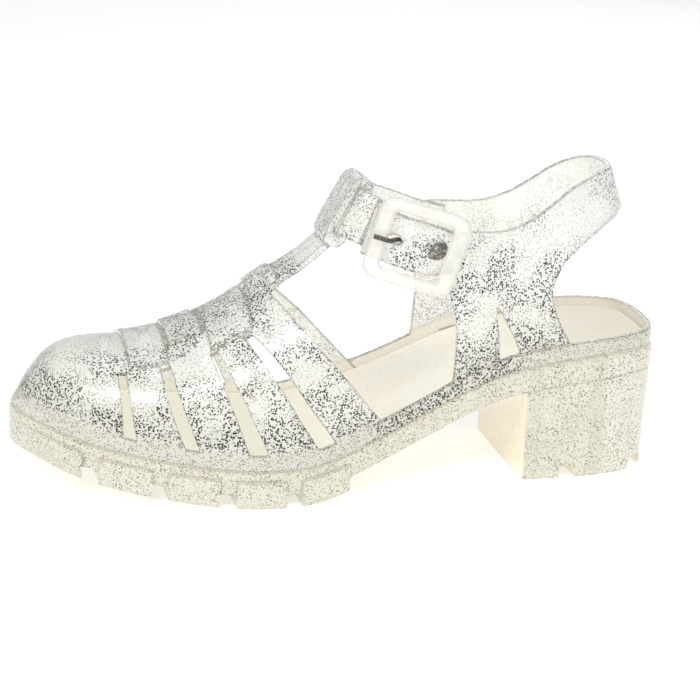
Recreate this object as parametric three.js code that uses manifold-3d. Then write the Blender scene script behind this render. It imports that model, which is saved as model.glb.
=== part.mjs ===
// Block heel sandal for the left foot, in clear moulded plastic.
// Millimetres, +Z up. While it is being shaped, x runs from the toe tip to the heel
// and the buckle side is at negative y; the last lines centre it over the floor.
import * as THREE from 'three';
import { mergeVertices } from 'three/addons/utils/BufferGeometryUtils.js';
import Module from 'manifold-3d';

const wasm = await Module();
wasm.setup();

// Last and sole
const soleLength = 241;
const ballWidth = 89;
const heelWidth = 62;
const heelHeight = 55;
const toeSpring = 13;
const slabThickness = 9;
const edgeInset = 0.8;

// Lugs under the forefoot and channels under the heel
const lugDepth = 4.3;
const lugPitch = 23.6;
const lugGap = 5.6;
const firstLugStart = 29;
const lugProud = 1.5;
const lugSideRise = 5.7;
const heelChannelWidth = 6.2;
const firstHeelChannel = 14.3;
const secondHeelChannel = 43.2;

// Block heel
const heelBlockLength = 54.5;
const heelBackTaper = 1.8;
const heelSideTaper = 1;

// Upper
const wall = 2.2;
const ledge = 1;
const rimHeight = 6.4;
const toeCapHeight = 33.6;
const instepRise = 42.5;
const seam = 0.3;

// Raised spine: half its width at the crossings and along the ridge between them
const raised = 1.6;
const spineHalf = 22.5;
const ridgeHalf = 14;

// Bar that climbs the instep, and the keeper at its top
const barWidth = 17.5;
const barThickness = 3;
const keeperTilt = 61;
const keeperWall = 2.8;
const keeperSill = 4.8;
const keeperCrown = 3.4;
const keeperLift = 0.2;
const keeperFoot = 0.4614 * soleLength;
const keeperCorner = 3.2;
const barLap = 8;
const barFlare = 3;
const barFlareShare = 0.625;

// Ankle strap
const strapWidth = 19;
const strapThickness = 2.2;
const strapClearance = 0.4;
const strapRootLap = 7;
const strapRootDrop = 6.8;
const strapTurn = 7.5;
const strapTurnFall = 3;
const strapTurnShare = 0.63;
const strapRootRise = 2;

// Quarters and sling
const quarterFront = 0.6515 * soleLength;
const quarterLap = 4;
const slingRise = 59.6;
const slingTop = heelHeight + slingRise;
const slingLean = 18.3;
const ankleWidth = 46;
const strapSide = ankleWidth / 2 - 2.5;
const ankleShift = -2.5;
const medialLag = 6;
const ovalPower = 3.2;
const ankleClimb = 1.15;
const quarterSink = 1.5;

// Insole
const insoleThickness = 2.8;
const insoleToe = 18;
const insoleToeSlope = 2.2;

// Buckle
const frameLength = 34;
const frameHeight = 31;
const frameThickness = 3;
const frameCorner = 5.5;
const frameBevel = 0.7;
const windowCorner = 1.6;
const railWidth = 4.8;
const endBarWidth = 6.2;
const hingeBarDiameter = 2.2;
const earWidth = 2;
const knuckleWall = 1.2;
const prongDiameter = 1.9;
const prongEyeWire = 1.4;
const prongHoleLength = 5.6;
const prongHoleWidth = 3.4;
const tabReach = 16.5;
const tabInset = 1.5;
const rivetDiameter = 8.6;
const rivetDome = 1.7;
const rivetShank = 1.6;
const rivetPlate = 1;
const buckleAhead = 13.5;
const buckleBelow = 24;
const buckleYaw = 14.2;
const buckleDrop = 15.5;

const halfPi = Math.PI / 2;

// How finely the outlines and the last are divided
const outlineSteps = 96;
const vampColumns = 20;
const vampRows = 18;

// Plan outline of the sole: side columns are shares of the local half width
const planRows = [
  { along: 0.0000, lateral: -0.202, medial: 0.202 },
  { along: 0.0062, lateral: -0.067, medial: 0.337 },
  { along: 0.0166, lateral: 0.034, medial: 0.450 },
  { along: 0.0290, lateral: 0.135, medial: 0.551 },
  { along: 0.0500, lateral: 0.292, medial: 0.665 },
  { along: 0.0870, lateral: 0.515, medial: 0.775 },
  { along: 0.1370, lateral: 0.680, medial: 0.876 },
  { along: 0.1910, lateral: 0.784, medial: 0.935 },
  { along: 0.2490, lateral: 0.876, medial: 0.970 },
  { along: 0.3100, lateral: 0.955, medial: 0.978 },
  { along: 0.3700, lateral: 1.000, medial: 0.948 },
  { along: 0.4360, lateral: 0.985, medial: 0.888 },
  { along: 0.5000, lateral: 0.960, medial: 0.850 },
  { along: 0.5700, lateral: 0.950, medial: 0.850 },
  { along: 0.6500, lateral: 0.975, medial: 0.905 },
  { along: 0.7200, lateral: 0.995, medial: 0.965 },
  { along: 0.8000, lateral: 1.000, medial: 1.000 },
  { along: 0.8700, lateral: 0.990, medial: 0.990 },
  { along: 0.9050, lateral: 0.965, medial: 0.965 },
  { along: 0.9350, lateral: 0.900, medial: 0.900 },
  { along: 0.9650, lateral: 0.790, medial: 0.790 },
  { along: 0.9850, lateral: 0.660, medial: 0.660 },
  { along: 0.9950, lateral: 0.500, medial: 0.500 },
  { along: 1.0000, lateral: 0.000, medial: 0.000 },
];

// Height of the sole's top edge: spring is a share of the toe spring,
// rise a share of the climb from the ball to the heel seat
const creaseRows = [
  { along: 0.000, spring: 1.000, rise: 0.000 },
  { along: 0.040, spring: 0.820, rise: 0.000 },
  { along: 0.090, spring: 0.620, rise: 0.000 },
  { along: 0.150, spring: 0.400, rise: 0.000 },
  { along: 0.210, spring: 0.220, rise: 0.000 },
  { along: 0.280, spring: 0.070, rise: 0.000 },
  { along: 0.345, spring: 0.000, rise: 0.000 },
  { along: 0.420, spring: 0.000, rise: 0.000 },
  { along: 0.450, spring: 0.000, rise: 0.035 },
  { along: 0.500, spring: 0.000, rise: 0.140 },
  { along: 0.555, spring: 0.000, rise: 0.290 },
  { along: 0.614, spring: 0.000, rise: 0.465 },
  { along: 0.670, spring: 0.000, rise: 0.635 },
  { along: 0.740, spring: 0.000, rise: 0.810 },
  { along: 0.800, spring: 0.000, rise: 0.885 },
  { along: 0.850, spring: 0.000, rise: 0.930 },
  { along: 0.910, spring: 0.000, rise: 0.972 },
  { along: 1.000, spring: 0.000, rise: 1.000 },
];

// Height of the last above that edge, along its ridge, and how square its arch is
const ridgeRows = [
  { along: 0.000, cap: 0.000, instep: 0.000, square: 2.30 },
  { along: 0.010, cap: 0.140, instep: 0.000, square: 2.30 },
  { along: 0.028, cap: 0.370, instep: 0.000, square: 2.35 },
  { along: 0.050, cap: 0.610, instep: 0.000, square: 2.40 },
  { along: 0.080, cap: 0.820, instep: 0.000, square: 2.40 },
  { along: 0.124, cap: 0.940, instep: 0.000, square: 2.35 },
  { along: 0.166, cap: 1.000, instep: 0.000, square: 2.30 },
  { along: 0.207, cap: 1.000, instep: 0.060, square: 2.20 },
  { along: 0.241, cap: 1.000, instep: 0.135, square: 2.15 },
  { along: 0.278, cap: 1.000, instep: 0.240, square: 2.10 },
  { along: 0.324, cap: 1.000, instep: 0.400, square: 2.05 },
  { along: 0.365, cap: 1.000, instep: 0.585, square: 2.00 },
  { along: 0.394, cap: 1.000, instep: 0.700, square: 2.00 },
  { along: 0.432, cap: 1.000, instep: 0.810, square: 2.00 },
  { along: 0.477, cap: 1.000, instep: 0.960, square: 2.00 },
  { along: 0.580, cap: 1.000, instep: 1.120, square: 2.00 },
];

// Slots between the strips, each from the spine down to the rim: the columns give their
// front and rear edges as shares of the sole length, at the head, halfway down and at the foot
const slotRows = [
  { front: [0.154, 0.154, 0.154], rear: [0.166, 0.167, 0.172] },
  { front: [0.215, 0.222, 0.242], rear: [0.229, 0.239, 0.262] },
  { front: [0.287, 0.306, 0.335], rear: [0.297, 0.323, 0.362] },
  { front: [0.336, 0.377, 0.441], rear: [0.345, 0.397, 0.468] },
];

// Smooth reading of one column of a table at a share of the length.
// Both ends of the shoe are round, so rows are spaced by the angle that draws them.
function roundedShare(share) {
  return Math.acos(1 - 2 * Math.min(1, Math.max(0, share))) / Math.PI;
}

function columnSlopes(knots, values) {
  const steps = knots.slice(1).map((knot, i) => (values[i + 1] - values[i]) / (knot - knots[i]));
  return knots.map((knot, i) => {
    if (i === 0) return steps[0];
    if (i === knots.length - 1) return steps[i - 1];
    const [before, after] = [steps[i - 1], steps[i]];
    return before * after <= 0 ? 0 : (2 * before * after) / (before + after);
  });
}

function column(rows, name) {
  const knots = rows.map((row) => roundedShare(row.along));
  const values = rows.map((row) => row[name]);
  const slopes = columnSlopes(knots, values);
  return (share) => {
    const place = Math.min(knots[knots.length - 1], Math.max(0, roundedShare(share)));
    let i = 0;
    while (i < knots.length - 2 && place > knots[i + 1]) i += 1;
    const span = knots[i + 1] - knots[i];
    const t = (place - knots[i]) / span;
    const ease = t * t * (3 - 2 * t);
    const bend = t * (1 - t) * span;
    return values[i] + ease * (values[i + 1] - values[i])
      + bend * ((1 - t) * slopes[i] - t * slopes[i + 1]);
  };
}

const lateralShare = column(planRows, 'lateral');
const medialShare = column(planRows, 'medial');
const springShare = column(creaseRows, 'spring');
const riseShare = column(creaseRows, 'rise');
const capShare = column(ridgeRows, 'cap');
const instepShare = column(ridgeRows, 'instep');
const squareness = column(ridgeRows, 'square');

const soleEdge = slabThickness + lugDepth;
const seatHeight = heelHeight - rimHeight;

function localHalfWidth(x) {
  const blend = THREE.MathUtils.smoothstep(x / soleLength, 0.38, 0.78);
  return THREE.MathUtils.lerp(ballWidth, heelWidth, blend) / 2;
}

function lateralEdge(x) {
  return -lateralShare(x / soleLength) * localHalfWidth(x);
}

function medialEdge(x) {
  return medialShare(x / soleLength) * localHalfWidth(x);
}

function crease(x) {
  const share = x / soleLength;
  return soleEdge + toeSpring * springShare(share) + (seatHeight - soleEdge) * riseShare(share);
}

function slabBottom(x) {
  return crease(x) - slabThickness;
}

// Last above the sole: around runs from -1 at the buckle side's rim, over the ridge, to 1
function lastHeight(x) {
  const share = x / soleLength;
  return toeCapHeight * capShare(share) + instepRise * instepShare(share);
}

function lastPoint(x, around) {
  const middle = (lateralEdge(x) + medialEdge(x)) / 2;
  const half = (medialEdge(x) - lateralEdge(x)) / 2;
  const power = 2 / squareness(x / soleLength);
  const side = Math.abs(Math.sin(around * halfPi)) ** power * Math.sign(around);
  const up = Math.abs(Math.cos(around * halfPi)) ** power;
  return new THREE.Vector3(x, middle + half * side, crease(x) + seam + lastHeight(x) * up);
}

// Where on the arch of the last a given distance from its middle lies
function aroundAt(x, offset) {
  const half = (medialEdge(x) - lateralEdge(x)) / 2;
  const share = Math.min(1, Math.abs(offset) / half);
  return Math.sign(offset) * Math.asin(share ** (squareness(x / soleLength) / 2)) / halfPi;
}

// Where on the arch a given height above its foot lies
function aroundAtHeight(x, height) {
  const share = Math.min(1, height / lastHeight(x));
  return Math.acos(share ** (squareness(x / soleLength) / 2)) / halfPi;
}

// Solids from meshes, and back
function closedGeometry(points, triangles) {
  const geometry = new THREE.BufferGeometry();
  geometry.setAttribute('position', new THREE.Float32BufferAttribute(points.flat(), 3));
  geometry.setIndex(triangles.flat());
  return geometry;
}

function solid(geometry) {
  const bare = new THREE.BufferGeometry();
  bare.setAttribute('position', geometry.getAttribute('position').clone());
  bare.setIndex(geometry.index ? Array.from(geometry.index.array) : null);
  const merged = mergeVertices(bare, 1e-4);
  const index = merged.index.array;
  const kept = [];
  for (let i = 0; i < index.length; i += 3) {
    const [a, b, c] = [index[i], index[i + 1], index[i + 2]];
    if (a !== b && b !== c && c !== a) kept.push(a, b, c);
  }
  const position = merged.getAttribute('position');
  if (signedVolume(position, kept) < 0) {
    for (let i = 0; i < kept.length; i += 3) [kept[i], kept[i + 1]] = [kept[i + 1], kept[i]];
  }
  return new wasm.Manifold(new wasm.Mesh({
    numProp: 3,
    vertProperties: new Float32Array(position.array),
    triVerts: new Uint32Array(kept),
  }));
}

function signedVolume(position, index) {
  const [a, b, c] = [new THREE.Vector3(), new THREE.Vector3(), new THREE.Vector3()];
  let volume = 0;
  for (let i = 0; i < index.length; i += 3) {
    a.fromBufferAttribute(position, index[i]);
    b.fromBufferAttribute(position, index[i + 1]);
    c.fromBufferAttribute(position, index[i + 2]);
    volume += a.dot(b.cross(c));
  }
  return volume;
}

function joined(solids) {
  return solids.reduce((whole, piece) => whole.add(piece));
}

function meshOf(name, body, material) {
  const data = body.getMesh();
  const geometry = new THREE.BufferGeometry();
  geometry.setAttribute('position', new THREE.BufferAttribute(data.vertProperties, 3));
  geometry.setIndex(new THREE.BufferAttribute(data.triVerts, 1));
  geometry.computeVertexNormals();
  const mesh = new THREE.Mesh(geometry, new THREE.MeshStandardMaterial(material));
  mesh.name = name;
  return mesh;
}

// Closed skin over equal rings of points, capped at both ends
function skin(rings) {
  const size = rings[0].length;
  const points = rings.flat().map((p) => p.toArray());
  const triangles = [];
  for (let r = 0; r < rings.length - 1; r += 1) {
    for (let i = 0; i < size; i += 1) {
      const j = (i + 1) % size;
      const [a, b, c, d] = [r * size + i, r * size + j, (r + 1) * size + j, (r + 1) * size + i];
      triangles.push([a, b, c], [a, c, d]);
    }
  }
  const last = (rings.length - 1) * size;
  const flat = THREE.ShapeUtils.triangulateShape(capOutline(rings[0]), []);
  for (const [a, b, c] of flat) triangles.push([a, c, b]);
  const far = THREE.ShapeUtils.triangulateShape(capOutline(rings[rings.length - 1]), []);
  for (const [a, b, c] of far) triangles.push([last + a, last + b, last + c]);
  return solid(closedGeometry(points, triangles));
}

// A ring seen square on, for filling it
function capOutline(ring) {
  const middle = ring.reduce((sum, p) => sum.add(p), new THREE.Vector3()).divideScalar(ring.length);
  const normal = new THREE.Vector3();
  ring.forEach((p, i) => {
    const next = ring[(i + 1) % ring.length];
    normal.add(p.clone().sub(middle).cross(next.clone().sub(middle)));
  });
  normal.normalize();
  const across = ring[0].clone().sub(middle).cross(normal).normalize();
  const up = normal.clone().cross(across);
  return ring.map((p) => {
    const offset = p.clone().sub(middle);
    return new THREE.Vector2(offset.dot(across), offset.dot(up));
  });
}

// Wall between two offsets of a curved surface, closed all round
function wallPatch(surface, columns, rows, outside, inside, poleNormal = null) {
  const nudge = 1e-3;
  const normalAt = (u, v) => {
    const [u0, u1] = [Math.max(0, u - nudge), Math.min(1, u + nudge)];
    const [v0, v1] = [Math.max(0, v - nudge), Math.min(1, v + nudge)];
    const alongU = surface(u1, v).sub(surface(u0, v));
    const alongV = surface(u, v1).sub(surface(u, v0));
    return alongU.cross(alongV).normalize();
  };
  const points = [];
  for (const offset of [outside, inside]) {
    for (let i = 0; i <= columns; i += 1) {
      for (let j = 0; j <= rows; j += 1) {
        const [u, v] = [i / columns, j / rows];
        const normal = i === 0 && poleNormal ? poleNormal.clone() : normalAt(u, v);
        points.push(surface(u, v).addScaledVector(normal, offset).toArray());
      }
    }
  }
  const stride = rows + 1;
  const half = (columns + 1) * stride;
  const at = (i, j, layer) => layer * half + i * stride + j;
  const triangles = [];
  const quad = (a, b, c, d) => triangles.push([a, b, c], [a, c, d]);
  for (let i = 0; i < columns; i += 1) {
    for (let j = 0; j < rows; j += 1) {
      quad(at(i, j, 0), at(i + 1, j, 0), at(i + 1, j + 1, 0), at(i, j + 1, 0));
      quad(at(i, j, 1), at(i, j + 1, 1), at(i + 1, j + 1, 1), at(i + 1, j, 1));
    }
    quad(at(i, 0, 0), at(i, 0, 1), at(i + 1, 0, 1), at(i + 1, 0, 0));
    quad(at(i, rows, 0), at(i + 1, rows, 0), at(i + 1, rows, 1), at(i, rows, 1));
  }
  for (let j = 0; j < rows; j += 1) {
    quad(at(0, j, 0), at(0, j + 1, 0), at(0, j + 1, 1), at(0, j, 1));
    quad(at(columns, j, 0), at(columns, j, 1), at(columns, j + 1, 1), at(columns, j + 1, 0));
  }
  return solid(closedGeometry(points, triangles));
}

// Points of the plan outline, once round from the toe tip, moved inwards by an inset
function outlinePoint(turn) {
  const share = turn <= 0.5 ? turn * 2 : (1 - turn) * 2;
  const x = soleLength * (1 - Math.cos(Math.PI * share)) / 2;
  return new THREE.Vector2(x, turn <= 0.5 ? lateralEdge(x) : medialEdge(x));
}

function insetOutline(turn, inset) {
  const nudge = 1e-3;
  const before = outlinePoint((turn - nudge + 1) % 1);
  const after = outlinePoint((turn + nudge) % 1);
  const tangent = after.sub(before).normalize();
  const inwards = new THREE.Vector2(-tangent.y, tangent.x);
  return outlinePoint(turn).addScaledVector(inwards, inset);
}

// Ring of points along the outline; its inset and height are functions of x
function outlineRing(insetAt, heightAt) {
  return Array.from({ length: outlineSteps }, (_, i) => {
    const p = insetOutline(i / outlineSteps, insetAt(outlinePoint(i / outlineSteps).x));
    return new THREE.Vector3(p.x, p.y, heightAt(p.x));
  });
}

// Layer that follows the sole's outline, between two heights
function soleLayer(insetAt, lowAt, highAt) {
  return ladder(outlineRing(insetAt, lowAt), outlineRing(insetAt, highAt));
}

// Skin over two matching rings, filled in strips from side to side so that it bends along x
function ladder(low, high) {
  const size = low.length;
  const points = [...low, ...high].map((p) => p.toArray());
  const triangles = [];
  for (let i = 0; i < size; i += 1) {
    const j = (i + 1) % size;
    triangles.push([i, j, size + j], [i, size + j, size + i]);
  }
  for (let i = 0; i < size / 2; i += 1) {
    const [a, b] = [i, i + 1];
    const [c, d] = [(size - i - 1) % size, (size - i) % size];
    triangles.push([a, c, b], [a, d, c]);
    triangles.push([size + a, size + b, size + c], [size + a, size + c, size + d]);
  }
  return solid(closedGeometry(points, triangles));
}

function block(x0, x1, y0, y1, z0, z1) {
  const box = new THREE.BoxGeometry(x1 - x0, y1 - y0, z1 - z0);
  box.translate((x0 + x1) / 2, (y0 + y1) / 2, (z0 + z1) / 2);
  return solid(box);
}

// Extrudes a side view, drawn in x and z, across the shoe between two values of y
function sidePrism(shape, y0, y1, curveSegments = 8) {
  const geometry = new THREE.ExtrudeGeometry(shape, {
    depth: y1 - y0, bevelEnabled: false, curveSegments, steps: 1,
  });
  geometry.rotateX(halfPi);
  geometry.translate(0, y1, 0);
  return solid(geometry);
}

// Sole with its lugs and block heel, one moulding
const heelBreast = soleLength - heelBlockLength;

function heelRing(height, top) {
  const steps = 36;
  const sink = 1 - height / seatHeight;
  const breastShare = Math.acos(1 - 2 * heelBreast / soleLength) / Math.PI;
  const ring = [];
  for (let i = 0; i <= steps; i += 1) {
    const turn = THREE.MathUtils.lerp(breastShare / 2, 1 - breastShare / 2, i / steps);
    const p = insetOutline(turn, edgeInset);
    const back = (p.x - heelBreast) / heelBlockLength;
    const x = p.x - heelBackTaper * sink * back;
    const y = p.y * (1 - sink * heelSideTaper * 2 / heelWidth);
    ring.push(new THREE.Vector3(x, y, top ? top(p.x) : height));
  }
  return ring;
}

// The lugs stand proud of the sole's edge, less so towards the toe tip
function lugInset(x) {
  return edgeInset - lugProud * THREE.MathUtils.smoothstep(x, 0, firstLugStart);
}

function buildOutsole() {
  const slab = soleLayer(() => edgeInset, slabBottom, crease);
  const lugLayer = soleLayer(lugInset, (x) => slabBottom(x) - lugDepth,
    (x) => slabBottom(x) + lugSideRise);
  const half = ballWidth;
  const pieces = [];
  const lugEnds = [[-lugProud, firstLugStart - lugGap]];
  for (let i = 0; i < 4; i += 1) {
    const start = firstLugStart + i * lugPitch;
    lugEnds.push([start, start + lugPitch - lugGap]);
  }
  for (const [start, end] of lugEnds) {
    pieces.push(lugLayer.intersect(block(start, end, -half, half, -1, seatHeight)));
  }
  const heelTop = (x) => slabBottom(x) + slabThickness / 2;
  let heel = skin([heelRing(0), heelRing(seatHeight / 2), heelRing(seatHeight, heelTop)]);
  for (const place of [firstHeelChannel, secondHeelChannel]) {
    const start = heelBreast + place;
    heel = heel.subtract(block(start, start + heelChannelWidth, -half, half, -1, lugDepth));
  }
  return joined([slab, ...pieces, heel]);
}

// Footbed, lying inside the rim; its top edge is drawn in to clear the strips' feet
function insoleInset(x) {
  const toe = 1 - THREE.MathUtils.smoothstep(x, 0, insoleToe);
  return ledge + wall + 2 * seam + insoleToeSlope * toe;
}

function buildInsole() {
  const low = outlineRing((x) => insoleInset(x) - seam, (x) => crease(x) + seam);
  const high = outlineRing((x) => insoleInset(x) + seam, (x) => crease(x) + seam + insoleThickness);
  return ladder(low, high);
}

// Rim that carries the quarters, from the feet of the last strips round the heel
function buildRim() {
  const first = Math.round(roundedShare(rimStart) / 2 * outlineSteps);
  const rings = [];
  for (let i = first; i <= outlineSteps - first; i += 1) {
    const turn = i / outlineSteps;
    const [p, q] = [insetOutline(turn, ledge), insetOutline(turn, ledge + wall)];
    const [low, high] = [crease(p.x) + seam, crease(p.x) + rimHeight];
    rings.push([
      new THREE.Vector3(p.x, p.y, low), new THREE.Vector3(p.x, p.y, high),
      new THREE.Vector3(q.x, q.y, high), new THREE.Vector3(q.x, q.y, low),
    ]);
  }
  return skin(rings);
}

// Rear edge of the last strip, from the foot of the bar down to the rim on either side
const throatRows = {
  lateral: { head: 0.372, foot: 0.556 },
  medial: { head: 0.372, foot: 0.572 },
};
const throatBend = 1.8;
const rimStart = 0.52;
const slotOver = 5;
const slotUnder = 8;
const toeNormal = new THREE.Vector3(-1, 0, 0);

function throatEdge(around) {
  const row = around < 0 ? throatRows.lateral : throatRows.medial;
  return soleLength * THREE.MathUtils.lerp(row.head, row.foot, Math.abs(around) ** throatBend);
}

function vampSurface(share, turn) {
  const around = 2 * turn - 1;
  return lastPoint(share * throatEdge(around), around);
}

// Value at a share of the way through a short list, on one smooth arc
function through([head, middle, foot], share) {
  const early = THREE.MathUtils.lerp(head, 2 * middle - (head + foot) / 2, share);
  const late = THREE.MathUtils.lerp(2 * middle - (head + foot) / 2, foot, share);
  return THREE.MathUtils.lerp(early, late, share);
}

// A window of the last between two slanted edges; side is -1 at the buckle, 1 at the arch
function slotSurface(row, side) {
  return (u, v) => {
    const down = side < 0 ? 1 - v : v;
    const front = through(row.front, down) * soleLength;
    const rear = through(row.rear, down) * soleLength;
    const x = THREE.MathUtils.lerp(front, rear, u);
    const head = aroundAt(x, spineHalf + 1);
    const foot = aroundAtHeight(x, rimHeight - seam);
    return lastPoint(x, side * THREE.MathUtils.lerp(head, foot, down));
  };
}

// Raised block along the ridge of the last
function spineBlock(row) {
  const surface = (u, v) => {
    const x = THREE.MathUtils.lerp(row.start, row.end, u) * soleLength;
    const half = THREE.MathUtils.lerp(row.front, row.rear, u);
    return lastPoint(x, aroundAt(x, THREE.MathUtils.lerp(-half, half, v)));
  };
  return wallPatch(surface, 3, 6, row.height * raised - ledge, -ledge - wall / 2);
}

// The spine crosses over the first and third strips; the second and fourth cross over it.
// Each row gives the block's ends along the sole, its half widths, and its share of the raise.
const barHalf = barWidth / 2;
const crossingRows = [
  { start: 0.172, end: 0.228, front: spineHalf, rear: spineHalf, height: 1.0 },
  { start: 0.234, end: 0.282, front: ridgeHalf, rear: ridgeHalf, height: 1.4 },
  { start: 0.290, end: 0.350, front: spineHalf, rear: spineHalf, height: 1.0 },
  { start: 0.358, end: 0.396, front: ridgeHalf - 2, rear: ridgeHalf - 2, height: 1.4 },
  { start: 0.180, end: 0.390, front: ridgeHalf, rear: barHalf + 1, height: 0.5 },
];

function buildVamp() {
  let vamp = wallPatch(vampSurface, vampColumns, vampRows, -ledge, -ledge - wall, toeNormal);
  for (const row of slotRows) {
    for (const side of [-1, 1]) {
      vamp = vamp.subtract(wallPatch(slotSurface(row, side), 1, 4, slotOver, -slotUnder));
    }
  }
  return joined([vamp, ...crossingRows.map(spineBlock), buildBar()]);
}

// Bar from the spine up to the keeper
const barStart = throatRows.lateral.head * soleLength - barLap;

function buildBar() {
  const surface = (u, v) => {
    const x = THREE.MathUtils.lerp(barStart, keeperFoot + barFlare, u);
    const half = barHalf + barFlare * (1 - Math.min(1, u / barFlareShare));
    const middle = (lateralEdge(x) + medialEdge(x)) / 2 * (1 - u);
    const offset = THREE.MathUtils.lerp(-half, half, v);
    const p = lastPoint(x, aroundAt(x, offset));
    p.y = middle + offset;
    return p;
  };
  return wallPatch(surface, 6, 4, barThickness - ledge - wall, -ledge - wall);
}

// Keeper: a flat sleeve that the ankle strap passes through
const keeperDepth = 2 * keeperWall + strapThickness + 2 * strapClearance;
const keeperHeight = strapWidth + 2 * strapClearance + keeperSill + keeperCrown;
const keeperSlotDrop = (keeperCrown - keeperSill) / 2;
const keeperLean = THREE.MathUtils.degToRad(keeperTilt);
const keeperUp = new THREE.Vector3(Math.cos(keeperLean), 0, Math.sin(keeperLean));
const keeperBack = new THREE.Vector3(Math.sin(keeperLean), 0, -Math.cos(keeperLean));
const keeperBase = new THREE.Vector3(keeperFoot, 0, 0);
keeperBase.z = lastPoint(keeperFoot, 0).z;
const keeperCentre = keeperBase.clone()
  .addScaledVector(keeperUp, keeperLift + keeperHeight / 2)
  .addScaledVector(keeperBack, keeperDepth / 2);
const keeperSlot = keeperCentre.clone().addScaledVector(keeperUp, -keeperSlotDrop);

function roundedRectangle(target, width, height, radius, middle = 0) {
  const [x, y] = [-width / 2, middle - height / 2];
  target.moveTo(x + radius, y);
  target.lineTo(x + width - radius, y);
  target.absarc(x + width - radius, y + radius, radius, -halfPi, 0, false);
  target.lineTo(x + width, y + height - radius);
  target.absarc(x + width - radius, y + height - radius, radius, 0, halfPi, false);
  target.lineTo(x + radius, y + height);
  target.absarc(x + radius, y + height - radius, radius, halfPi, Math.PI, false);
  target.lineTo(x, y + radius);
  target.absarc(x + radius, y + radius, radius, Math.PI, 3 * halfPi, false);
  return target;
}

function buildKeeper() {
  const shape = roundedRectangle(new THREE.Shape(), keeperDepth, keeperHeight, keeperCorner);
  const slotDepth = strapThickness + 2 * strapClearance;
  const slotHeight = strapWidth + 2 * strapClearance;
  shape.holes.push(roundedRectangle(new THREE.Path(), slotDepth, slotHeight, seam, -keeperSlotDrop));
  const geometry = new THREE.ExtrudeGeometry(shape, {
    depth: barWidth, bevelEnabled: false, curveSegments: 4, steps: 1,
  });
  geometry.translate(0, 0, -barWidth / 2);
  const across = new THREE.Vector3(0, -1, 0);
  geometry.applyMatrix4(new THREE.Matrix4().makeBasis(keeperBack, keeperUp, across));
  geometry.translate(keeperCentre.x, keeperCentre.y, keeperCentre.z);
  return solid(geometry);
}

// The buckle hangs ahead of the quarter on the outer side of the ankle
const buckleCentre = new THREE.Vector3(
  quarterFront - buckleAhead, -ankleWidth / 2, slingTop - buckleBelow);

// Frame of reference of the buckle: along the strap towards the heel, up, and out of the foot
const yaw = THREE.MathUtils.degToRad(buckleYaw);
const drop = THREE.MathUtils.degToRad(buckleDrop);
const buckleAlong = new THREE.Vector3(
  Math.cos(yaw) * Math.cos(drop), -Math.sin(yaw) * Math.cos(drop), -Math.sin(drop));
const buckleOut = new THREE.Vector3(-Math.sin(yaw), -Math.cos(yaw), 0);
const buckleUp = buckleOut.clone().cross(buckleAlong);
const buckleBasis = new THREE.Matrix4()
  .makeBasis(buckleAlong, buckleUp, buckleOut)
  .setPosition(buckleCentre);

function atBuckle(along, up, out) {
  return new THREE.Vector3(along, up, out).applyMatrix4(buckleBasis);
}

// Levels out from the tab's face: hinge bar, its knuckle, the strap above, and the frame
const hingeLevel = seam + hingeBarDiameter / 2;
const hingeRoom = hingeBarDiameter / 2 + seam;
const knuckleRadius = hingeRoom + knuckleWall;
const eyeRadius = hingeRoom + prongEyeWire;
const strapOverHinge = hingeLevel + eyeRadius + seam + strapThickness / 2;
const strapUnderBar = seam + rivetDome + strapThickness / 2;
const frameLevel = strapUnderBar + strapThickness / 2 + strapClearance;
const strapEnd = frameLength / 2 - ledge;
const windowEnd = frameLength / 2 - endBarWidth;
const rivetPlace = eyeRadius + seam + rivetDiameter / 2;

// Ankle strap: the places it passes, with the direction of its width
function strapStations() {
  const side = barWidth / 2 + seam;
  const keeper = keeperSlot;
  const mixed = keeperUp.clone().lerp(buckleUp, 0.5).normalize();
  const mirrored = (v) => new THREE.Vector3(v.x, -v.y, v.z);
  const farUp = mirrored(buckleUp);
  const root = buckleCentre.z - strapRootDrop;
  const turnZ = keeper.z - strapTurnFall;
  const turnY = (barWidth + strapTurn) * strapTurnShare;
  return [
    { at: new THREE.Vector3(quarterFront + strapRootLap, strapSide, root), width: farUp },
    { at: new THREE.Vector3(quarterFront - ledge, strapSide, root + strapRootRise), width: farUp },
    { at: new THREE.Vector3(buckleCentre.x, strapSide - ledge, buckleCentre.z), width: farUp },
    { at: new THREE.Vector3(keeper.x + strapTurn, turnY, turnZ), width: mirrored(mixed) },
    { at: new THREE.Vector3(keeper.x, side, keeper.z), width: keeperUp },
    { at: new THREE.Vector3(keeper.x, 0, keeper.z), width: keeperUp },
    { at: new THREE.Vector3(keeper.x, -side, keeper.z), width: keeperUp },
    { at: new THREE.Vector3(keeper.x + strapTurn, -turnY, turnZ), width: mixed },
    { at: atBuckle(-frameLength / 2, 0, strapUnderBar - strapClearance), width: buckleUp },
    { at: atBuckle(-windowEnd, 0, strapUnderBar), width: buckleUp },
    { at: atBuckle(0, 0, strapOverHinge), width: buckleUp },
    { at: atBuckle(windowEnd, 0, strapUnderBar), width: buckleUp },
    { at: atBuckle(strapEnd, 0, strapUnderBar), width: buckleUp },
  ];
}

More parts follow.
